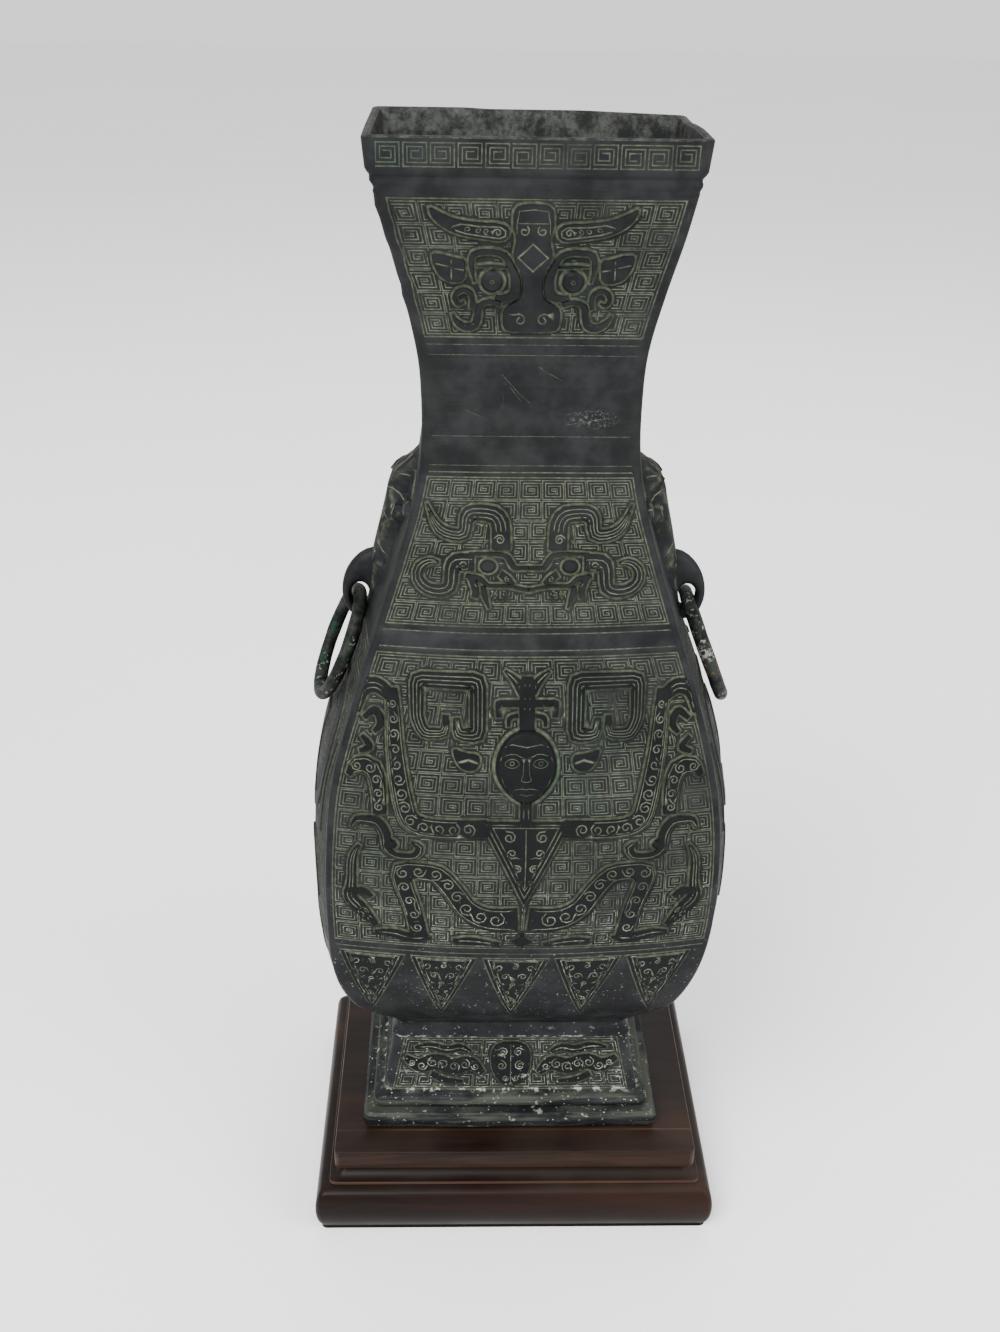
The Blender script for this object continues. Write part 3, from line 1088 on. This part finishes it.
def platform():
    """The upper board: a lip that stands out below, a cove above it and a small rounding round the top."""
    offsets = [(-2.8, PLATFORM_BOTTOM), (-2.8, 27.0), (-2.5, 27.3)]
    for a in np.linspace(0.12, 1, 9) * math.pi / 2:
        offsets.append((4 - 6.8 * (1 - math.sin(a)), 27.2 + 6.6 * (1 - math.cos(a))))
    offsets += [(0.8, 33.8), (0.25, 33.95), (0, 34.6)]
    offsets += [(0, 43.4), (0.2, 44.0), (0.6, 44.35), (1.2, PLATFORM_TOP)]
    return board_mesh(PLATFORM_WIDTH, PLATFORM_DEPTH, offsets)


# Materials

class Value:
    """A number or colour in a node tree, with the usual arithmetic."""

    def __init__(self, graph, socket):
        self.graph, self.socket = graph, socket

    def __add__(self, other):
        return self.graph.math("ADD", self, other)

    def __sub__(self, other):
        return self.graph.math("SUBTRACT", self, other)

    def __mul__(self, other):
        return self.graph.math("MULTIPLY", self, other)

    def __truediv__(self, other):
        return self.graph.math("DIVIDE", self, other)

    def __abs__(self):
        return self.graph.math("ABSOLUTE", self)

    def ramp(self, low, high, out_low=0.0, out_high=1.0):
        """A smooth step from one output to the other while the value goes from low to high."""
        node, out = self.graph.node("MapRange", "Result")
        node.interpolation_type = "SMOOTHSTEP"
        self.graph.link(self, node.inputs["Value"])
        for key, limit in (("From Min", low), ("From Max", high), ("To Min", out_low), ("To Max", out_high)):
            node.inputs[key].default_value = limit
        return out


class Graph:
    """Short calls for building the node tree of one material."""

    def __init__(self, name):
        self.material = bpy.data.materials.new(name)
        self.material.use_nodes = True
        self.tree = self.material.node_tree
        self.tree.nodes.clear()
        self.shader, surface = self.node("BsdfPrincipled", "BSDF")
        self.link(surface, self.tree.nodes.new("ShaderNodeOutputMaterial").inputs["Surface"])
        _, self.place = self.node("TexCoord", "Object")

    def node(self, kind, output):
        """A new node and one of its outputs."""
        node = self.tree.nodes.new("ShaderNode" + kind)
        return node, Value(self, node.outputs[output])

    def link(self, value, socket):
        if isinstance(value, Value):
            self.tree.links.new(value.socket, socket)
        else:
            socket.default_value = value

    def set(self, **values):
        """Give the shader's inputs their values; an underscore in a name stands for a space."""
        for name, value in values.items():
            self.link(value, self.shader.inputs[name.replace("_", " ")])

    def math(self, operation, a, b=0.0, clamp=False):
        node, out = self.node("Math", 0)
        node.operation = operation
        node.use_clamp = clamp
        self.link(a, node.inputs[0])
        self.link(b, node.inputs[1])
        return out

    def largest(self, a, b):
        return self.math("MAXIMUM", a, b)

    def noise(self, scale, detail=4, rough=0.55, stretch=None, distortion=0.0):
        node, out = self.node("TexNoise", "Fac")
        place = self.place
        if stretch:
            mapping, moved = self.node("Mapping", 0)
            mapping.inputs["Scale"].default_value = stretch
            self.link(place, mapping.inputs["Vector"])
            place = moved
        self.link(place, node.inputs["Vector"])
        values = {"Scale": scale, "Detail": detail, "Roughness": rough, "Distortion": distortion}
        for key, value in values.items():
            node.inputs[key].default_value = value
        return out

    def patches(self, low, high, scale, detail=4, rough=0.55, stretch=None):
        """A noise that is cut down to patches between two levels."""
        return self.noise(scale, detail, rough, stretch).ramp(low, high)

    def cells(self, scale):
        node, out = self.node("TexVoronoi", "Distance")
        self.link(self.place, node.inputs["Vector"])
        node.inputs["Scale"].default_value = scale
        return out

    def mix(self, share, a, b):
        node, out = self.node("Mix", 2)
        node.data_type = "RGBA"
        self.link(share, node.inputs[0])
        for colour, socket in ((a, node.inputs[6]), (b, node.inputs[7])):
            self.link(colour if isinstance(colour, Value) else (*colour, 1), socket)
        return out

    def axis(self, name, of=None):
        node, out = self.node("SeparateXYZ", name)
        self.link(of or self.place, node.inputs[0])
        return out

    def facing(self, name):
        return self.axis(name, self.node("NewGeometry", "Normal")[1])

    def bump(self, *layers):
        normal = None
        for height, strength, distance in layers:
            node, out = self.node("Bump", "Normal")
            node.inputs["Strength"].default_value = strength
            node.inputs["Distance"].default_value = distance
            self.link(height, node.inputs["Height"])
            if normal:
                self.link(normal, node.inputs["Normal"])
            normal = out
        self.set(Normal=normal)


def bronze_material():
    g = Graph("vase_bronze")
    attribute, patina = g.node("Attribute", "Fac")
    attribute.attribute_name = "patina"
    height = g.axis("Z")
    broad, middle = g.noise(14, 4, 0.6), g.noise(70, 5, 0.6)
    fine, grain = g.noise(420, 4, 0.6), g.noise(1500, 3, 0.6)
    mottled = fine.ramp(0.35, 0.68)

    # Bare metal, darkest where the tops of the figures are rubbed
    dark = g.mix(middle.ramp(0.35, 0.7), (0.0120, 0.0122, 0.0132), (0.0225, 0.0230, 0.0245))
    dark = g.mix(broad.ramp(0.52, 0.75) * 0.4, dark, (0.020, 0.025, 0.018))
    brushed = g.patches(0.5, 0.8, 300, 5, 0.7, (0.05, 1, 1))
    dark = g.mix(brushed * 0.35, dark, (0.030, 0.031, 0.030))
    polish = patina.ramp(-0.01, -0.05) * height.ramp(0.33, 0.30, 0.25, 0.68)
    dark = g.mix(polish, dark, (0.0065, 0.0068, 0.0070))

    # Olive ground and pale lines, both with worn and green stretches
    worn = g.patches(0.47, 0.66, 24, 5, 0.65) * 0.66
    green = g.patches(0.56, 0.74, 26, 3) * 0.45
    olive = g.mix(mottled, (0.037, 0.043, 0.029), (0.064, 0.073, 0.050))
    olive = g.mix(green, g.mix(worn, olive, (0.018, 0.021, 0.018)), (0.022, 0.042, 0.030))
    line = g.mix(mottled, (0.082, 0.090, 0.066), (0.155, 0.166, 0.127))
    line = g.mix(green, g.mix(worn, line, (0.040, 0.044, 0.036)), (0.075, 0.125, 0.095))
    share = patina + (fine - 0.5) * 0.22
    colour = g.mix(share.ramp(0.10, 0.34), dark, olive)
    colour = g.mix(share.ramp(0.42, 0.74), colour, line)

    # White specks, smears and glints of the lower part
    low_down = (height + (broad - 0.5) * 0.12).ramp(0.235, 0.125)
    specks = g.cells(620).ramp(0.34, 0.14) * g.patches(0.56, 0.66, 560, 2, 0.5) * low_down
    foot_band = height.ramp(0.105, 0.085)
    smears = g.patches(0.63, 0.70, 210, 4, 0.65, (0.6, 0.6, 1)) * foot_band
    for edge_height in (0.0937, 0.0636):
        near = abs(height - edge_height).ramp(0.0013, 0.0005)
        smears = g.largest(smears, near * g.patches(0.52, 0.60, 270, 3, 0.6))
    lower = (height + (broad - 0.5) * 0.1).ramp(0.225, 0.18)
    glints = share.ramp(0.45, 0.8) * g.patches(0.52, 0.60, 330, 3, 0.6) * lower
    white = g.math("ADD", specks * 0.45, smears * 0.6, clamp=True)
    white = g.largest(g.largest(white, glints * 0.9), specks * foot_band * 0.9)

    # Greyish rolls of the foot
    rolls = height.ramp(0.068, 0.062) * g.patches(0.42, 0.60, 230, 5, 0.65, (0.12, 0.12, 1.3))
    colour = g.mix(rolls * 0.7, colour, (0.056, 0.062, 0.049))

    # A small pale cloud on the plain part of the neck
    across, up = (g.axis("X") - 0.024) / 0.012, (height - 0.411) / 0.0045
    cloud = (across * across + up * up).ramp(1.2, 0.0) * g.patches(0.52, 0.62, 800, 4, 0.75)
    colour = g.mix(cloud * 0.7, colour, (0.105, 0.108, 0.100))

    # Streaks on the narrow faces
    side_wall = abs(g.facing("X")).ramp(0.72, 0.95)
    streaks = g.patches(0.46, 0.62, 130, 5, 0.65, (1, 1, 0.22)) * side_wall
    colour = g.mix(streaks * 0.3, colour, (0.040, 0.047, 0.033))

    # Mottled inside with a few rusty stains
    mottle = g.mix(g.patches(0.40, 0.66, 150, 9, 0.8), (0.016, 0.017, 0.016), (0.062, 0.065, 0.060))
    mottle = g.mix(g.patches(0.66, 0.74, 90, 2) * 0.35, mottle, (0.055, 0.028, 0.016))
    colour = g.mix(patina.ramp(-0.1, -0.4), colour, mottle)

    scuffs = g.patches(0.66, 0.78, 90, 5, 0.7, (1, 1, 0.35)) * 0.35
    colour = g.mix(scuffs, colour, (0.05, 0.053, 0.05))
    colour = g.mix(white, colour, (0.36, 0.38, 0.34))
    rough = middle.ramp(0.3, 0.7, 0.50, 0.62) + low_down * -0.14
    rough = g.math("ADD", rough, share.ramp(0.1, 0.5) * 0.16, clamp=True)
    metallic = share.ramp(0.1, 0.4, 0.45, 0.1)
    g.set(Base_Color=colour, Roughness=rough, Metallic=metallic, IOR=1.2, Specular_Tint=(0.15, 0.15, 0.15, 1))
    g.bump((middle, 0.25, 0.0006), (fine, 0.35, 0.00025), (grain, 0.3, 0.00010))
    return g.material


def ring_material():
    g = Graph("ring_bronze")
    fine, middle = g.noise(700, 5, 0.65), g.noise(160, 4, 0.6)
    colour = g.mix(middle.ramp(0.4, 0.65), (0.0085, 0.0100, 0.0095), (0.0260, 0.0275, 0.0235))
    colour = g.mix(g.patches(0.54, 0.66, 110, 3) * 0.6, colour, (0.014, 0.046, 0.030))
    flakes = g.patches(0.57, 0.64, 420, 4, 0.7) * g.patches(0.48, 0.58, 75, 2)
    colour = g.mix(flakes * 0.85, colour, (0.26, 0.26, 0.24))
    colour = g.mix(g.patches(0.64, 0.72, 95, 2) * 0.7, colour, (0.10, 0.055, 0.028))

    # A pale and a rusty spot on the front of the right ring
    in_front = g.axis("X").ramp(0, 0.01) * g.axis("Y").ramp(-0.006, -0.014)
    for height, reach, share, tint in (
            (0.3025, 0.0042, 0.8, (0.22, 0.22, 0.21)), (0.2950, 0.0024, 0.7, (0.125, 0.075, 0.040))):
        shift = abs(g.axis("Z") - height) + (middle - 0.5) * 0.014
        amount = shift.ramp(reach, reach * 0.5) * (in_front * fine.ramp(0.46, 0.54))
        colour = g.mix(amount * share, colour, tint)
    g.set(Base_Color=colour, Roughness=fine.ramp(0.3, 0.7, 0.40, 0.68), Metallic=0.35, IOR=1.22,
          Specular_Tint=(0.2, 0.2, 0.2, 1))
    g.bump((middle, 0.6, 0.0009), (fine, 0.7, 0.0005))
    return g.material


def wood_material(name, seam=None):
    """Dark wood with its grain along X; the seam is a joint's place and height."""
    tone = 0.85

    def toned(*colour):
        return tuple(v * tone for v in colour)

    g = Graph(name)
    stretch = (0.06, 1, 1)
    grain, broad = g.noise(260, 6, 0.65, stretch, 0.6), g.noise(38, 4, 0.55, stretch, 0.3)
    pores, cloud = g.noise(1400, 3, 0.6, (0.03, 1, 1)), g.noise(16, 3, 0.5)
    colour = g.mix(grain.ramp(0.32, 0.7), toned(0.0026, 0.0012, 0.0010), toned(0.0082, 0.0031, 0.0020))
    colour = g.mix(broad.ramp(0.48, 0.72) * 0.75, colour, toned(0.021, 0.0076, 0.0043))
    colour = g.mix(pores.ramp(0.56, 0.7) * 0.5, colour, toned(0.006, 0.004, 0.0035))
    dust = g.facing("Z").ramp(0.6, 1.0) * cloud.ramp(0.35, 0.75, 0.05, 0.30)
    colour = g.mix(dust, colour, (0.042, 0.032, 0.025))
    pointed = g.node("NewGeometry", "Pointiness")[1]
    edges = (pointed + (grain - 0.5) * 0.04).ramp(0.53, 0.60)
    colour = g.mix(edges * 0.55, colour, (0.085, 0.046, 0.030))
    if seam:
        place, top = seam
        thin = abs(g.axis("Y") - place).ramp(0.0007, 0.0002) * g.axis("Z").ramp(top - 0.0006, top - 0.0003)
        colour = g.mix(thin * grain.ramp(0.35, 0.65, 0.1, 0.7), colour, (0.060, 0.038, 0.024))
    g.set(Base_Color=colour, Roughness=cloud.ramp(0.3, 0.7, 0.34, 0.5), IOR=1.19)
    g.bump((grain, 0.12, 0.0003), (pores, 0.12, 0.00012))
    return g.material


def floor_material():
    g = Graph("floor_paper")
    g.set(Base_Color=g.mix(g.patches(0.3, 0.7, 3, 3), (0.93, 0.93, 0.93), (0.95, 0.95, 0.95)), Roughness=0.85)
    return g.material


def dress(obj, material, body, node):
    obj.data.materials.append(material)
    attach(obj, body)
    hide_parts(node)


bronze, ring_bronze = bronze_material(), ring_material()
dress(mesh_object("vase_cast", *vase_mesh()), bronze, "vase", "vase_body")
for side, lean, twist, body, seed in ((1, 22, 0, "right_ring", 3), (-1, 23.3, 5, "left_ring", 4)):
    piece = mesh_object(body + "_cast", *ring_mesh(side, lean, twist, seed))
    dress(piece, ring_bronze, body, body)
platform_wood = wood_material("platform_wood", SEAM)
upper_board = mesh_object("upper_board", *platform(), sharp=0.7)
dress(upper_board, platform_wood, "vase", "stand_platform")
base_wood = wood_material("base_wood")
lower_board = mesh_object("lower_board", *base_board(), sharp=0.7)
dress(lower_board, base_wood, "vase", "stand_base_board")

# Floor, soft light and the camera

FLOOR_REACH, FLOOR_DROP = 6000, 0.1
corners = [(x * FLOOR_REACH, y * FLOOR_REACH, -FLOOR_DROP) for x, y in ((-1, -1), (1, -1), (1, 1), (-1, 1))]
floor = mesh_object("floor", np.array(corners), np.zeros(4), np.array([(0, 1, 2), (0, 2, 3)]))
floor.data.materials.append(floor_material())


def soft_light(name, place, aim_height, size, power):
    light = bpy.data.lights.new(name, "AREA")
    light.shape = "RECTANGLE"
    light.size, light.size_y = size
    light.energy = power
    obj = bpy.data.objects.new(name, light)
    bpy.context.scene.collection.objects.link(obj)
    away = Vector(place) - Vector((0, 0, aim_height))
    obj.rotation_euler = away.to_track_quat("Z", "Y").to_euler()
    obj.location = place


soft_light("key", (-0.9, -1.3, 1.9), 0.25, (1.2, 1.2), 88)
soft_light("fill", (1.5, -0.9, 1.1), 0.25, (1.2, 1.2), 32)
soft_light("rear", (0.2, 1.4, 1.6), 0.3, (1.6, 0.8), 12)
SKY_LIGHT = 1.25
world = bpy.data.worlds.new("studio")
world.use_nodes = True
world.node_tree.nodes["Background"].inputs[0].default_value = (1, 1, 1, 1)
world.node_tree.nodes["Background"].inputs[1].default_value = SKY_LIGHT
bpy.context.scene.world = world

YAW, PITCH, ROLL = 0.03056, 0.49178, 0.01872
EYE = (-0.02803, -0.58707, 0.59772)
LENS, SENSOR = 39.19, 36
forward = np.array([math.sin(YAW) * math.cos(PITCH), math.cos(YAW) * math.cos(PITCH), -math.sin(PITCH)])
level = np.array([math.cos(YAW), -math.sin(YAW), 0])
upward = np.cross(level, forward)
right = level * math.cos(ROLL) + upward * math.sin(ROLL)
above = -level * math.sin(ROLL) + upward * math.cos(ROLL)
camera_data = bpy.data.cameras.new("camera")
camera_data.lens, camera_data.sensor_width, camera_data.sensor_fit = LENS, SENSOR, "AUTO"
camera = bpy.data.objects.new("camera", camera_data)
bpy.context.scene.collection.objects.link(camera)
turn_and_place = [(*row_values, at) for *row_values, at in zip(right, above, -forward, EYE)]
camera.matrix_world = Matrix(turn_and_place + [(0, 0, 0, 1)])
bpy.context.scene.camera = camera
